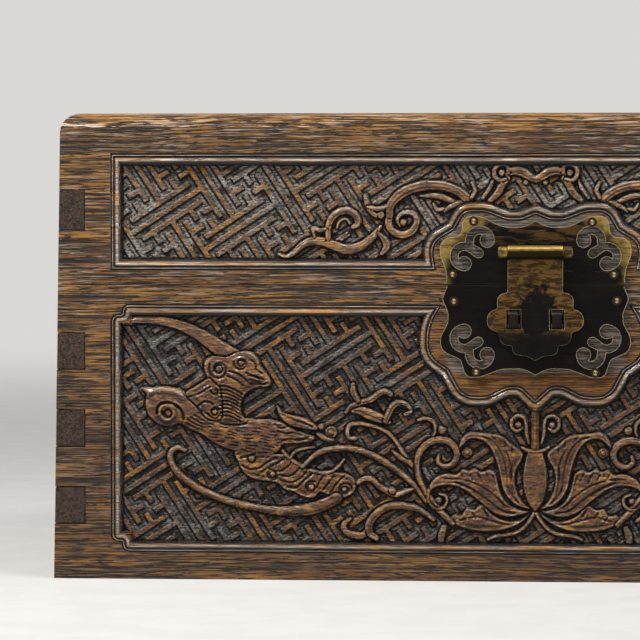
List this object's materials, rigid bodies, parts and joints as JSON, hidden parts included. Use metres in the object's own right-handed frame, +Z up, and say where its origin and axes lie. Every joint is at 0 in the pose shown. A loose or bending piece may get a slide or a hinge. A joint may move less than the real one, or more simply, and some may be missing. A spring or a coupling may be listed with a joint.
{
  "type": "carved wooden box",
  "caption": "Hinged hardwood box with dovetailed boards, sunk and moulded front panels, a lobed pierced lock plate with a drop hasp over staples, and swinging bail handles.",
  "frame": {"origin": "centre of the underside", "axes": "+X to the right as seen from the front, +Y to the back, +Z up; the carved front faces -Y"},
  "size_m": [0.4152, 0.2469, 0.1935],
  "materials": {
    "face_wood": "waxed and worn, orange brown with fine dark grain, greyer in the hollows",
    "end_wood": "waxed and worn, with darker end grain on the tails",
    "plate_brass": "sheet brass gone dark brown, golden where it is rubbed",
    "worn_brass": "mottled golden brown, with dark patches",
    "bright_brass": "polished by handling"
  },
  "bodies": {
    "case": {"case_front_board": "face_wood", "case_back_board": "face_wood", "case_left_board": "end_wood", "case_right_board": "end_wood", "case_bottom_board": "face_wood", "lower_lock_plate": "plate_brass", "lower_plate_nail_1": "bright_brass", "lower_plate_nail_2": "bright_brass", "lower_plate_nail_3": "bright_brass", "lower_plate_nail_4": "bright_brass", "left_lock_staple": "bright_brass", "right_lock_staple": "bright_brass", "left_hinge_case_leaf": "plate_brass", "right_hinge_case_leaf": "plate_brass", "left_hinge_case_nail_1": "bright_brass", "left_hinge_case_nail_2": "bright_brass", "left_hinge_case_nail_3": "bright_brass", "right_hinge_case_nail_1": "bright_brass", "right_hinge_case_nail_2": "bright_brass", "right_hinge_case_nail_3": "bright_brass", "left_hinge_pin": "bright_brass", "right_hinge_pin": "bright_brass", "left_front_handle_loop": "bright_brass", "left_rear_handle_loop": "bright_brass", "right_front_handle_loop": "bright_brass", "right_rear_handle_loop": "bright_brass", "left_front_handle_rose": "plate_brass", "left_rear_handle_rose": "plate_brass", "right_front_handle_rose": "plate_brass", "right_rear_handle_rose": "plate_brass"},
    "lid": {"lid_front_board": "face_wood", "lid_back_board": "face_wood", "lid_left_board": "end_wood", "lid_right_board": "end_wood", "lid_top_board": "face_wood", "upper_lock_plate": "plate_brass", "upper_plate_nail_1": "bright_brass", "upper_plate_nail_2": "bright_brass", "upper_plate_nail_3": "bright_brass", "upper_plate_nail_4": "bright_brass", "left_hasp_eyelet": "bright_brass", "right_hasp_eyelet": "bright_brass", "hasp_pin": "bright_brass", "left_hinge_lid_leaf": "plate_brass", "right_hinge_lid_leaf": "plate_brass", "left_hinge_lid_nail_1": "bright_brass", "left_hinge_lid_nail_2": "bright_brass", "left_hinge_lid_nail_3": "bright_brass", "right_hinge_lid_nail_1": "bright_brass", "right_hinge_lid_nail_2": "bright_brass", "right_hinge_lid_nail_3": "bright_brass"},
    "hasp": {"hasp": "worn_brass"},
    "left_bail": {"left_bail": "worn_brass"},
    "right_bail": {"right_bail": "worn_brass"}
  },
  "joints": [
    {"name": "lid_hinge", "type": "hinge", "parent": "case", "child": "lid", "pos_m": [0, 0.1182, 0.12265], "axis": [-1, 0, 0], "range_deg": [0, 110]},
    {"name": "hasp_hinge", "type": "hinge", "parent": "lid", "child": "hasp", "pos_m": [0, -0.12025, 0.1361], "axis": [-1, 0, 0], "range_deg": [0, 175]},
    {"name": "left_bail_hinge", "type": "hinge", "parent": "case", "child": "left_bail", "pos_m": [-0.20405, 0, 0.074], "axis": [0, 1, 0], "range_deg": [0, 175]},
    {"name": "right_bail_hinge", "type": "hinge", "parent": "case", "child": "right_bail", "pos_m": [0.20405, 0, 0.074], "axis": [0, -1, 0], "range_deg": [0, 175]}
  ]
}
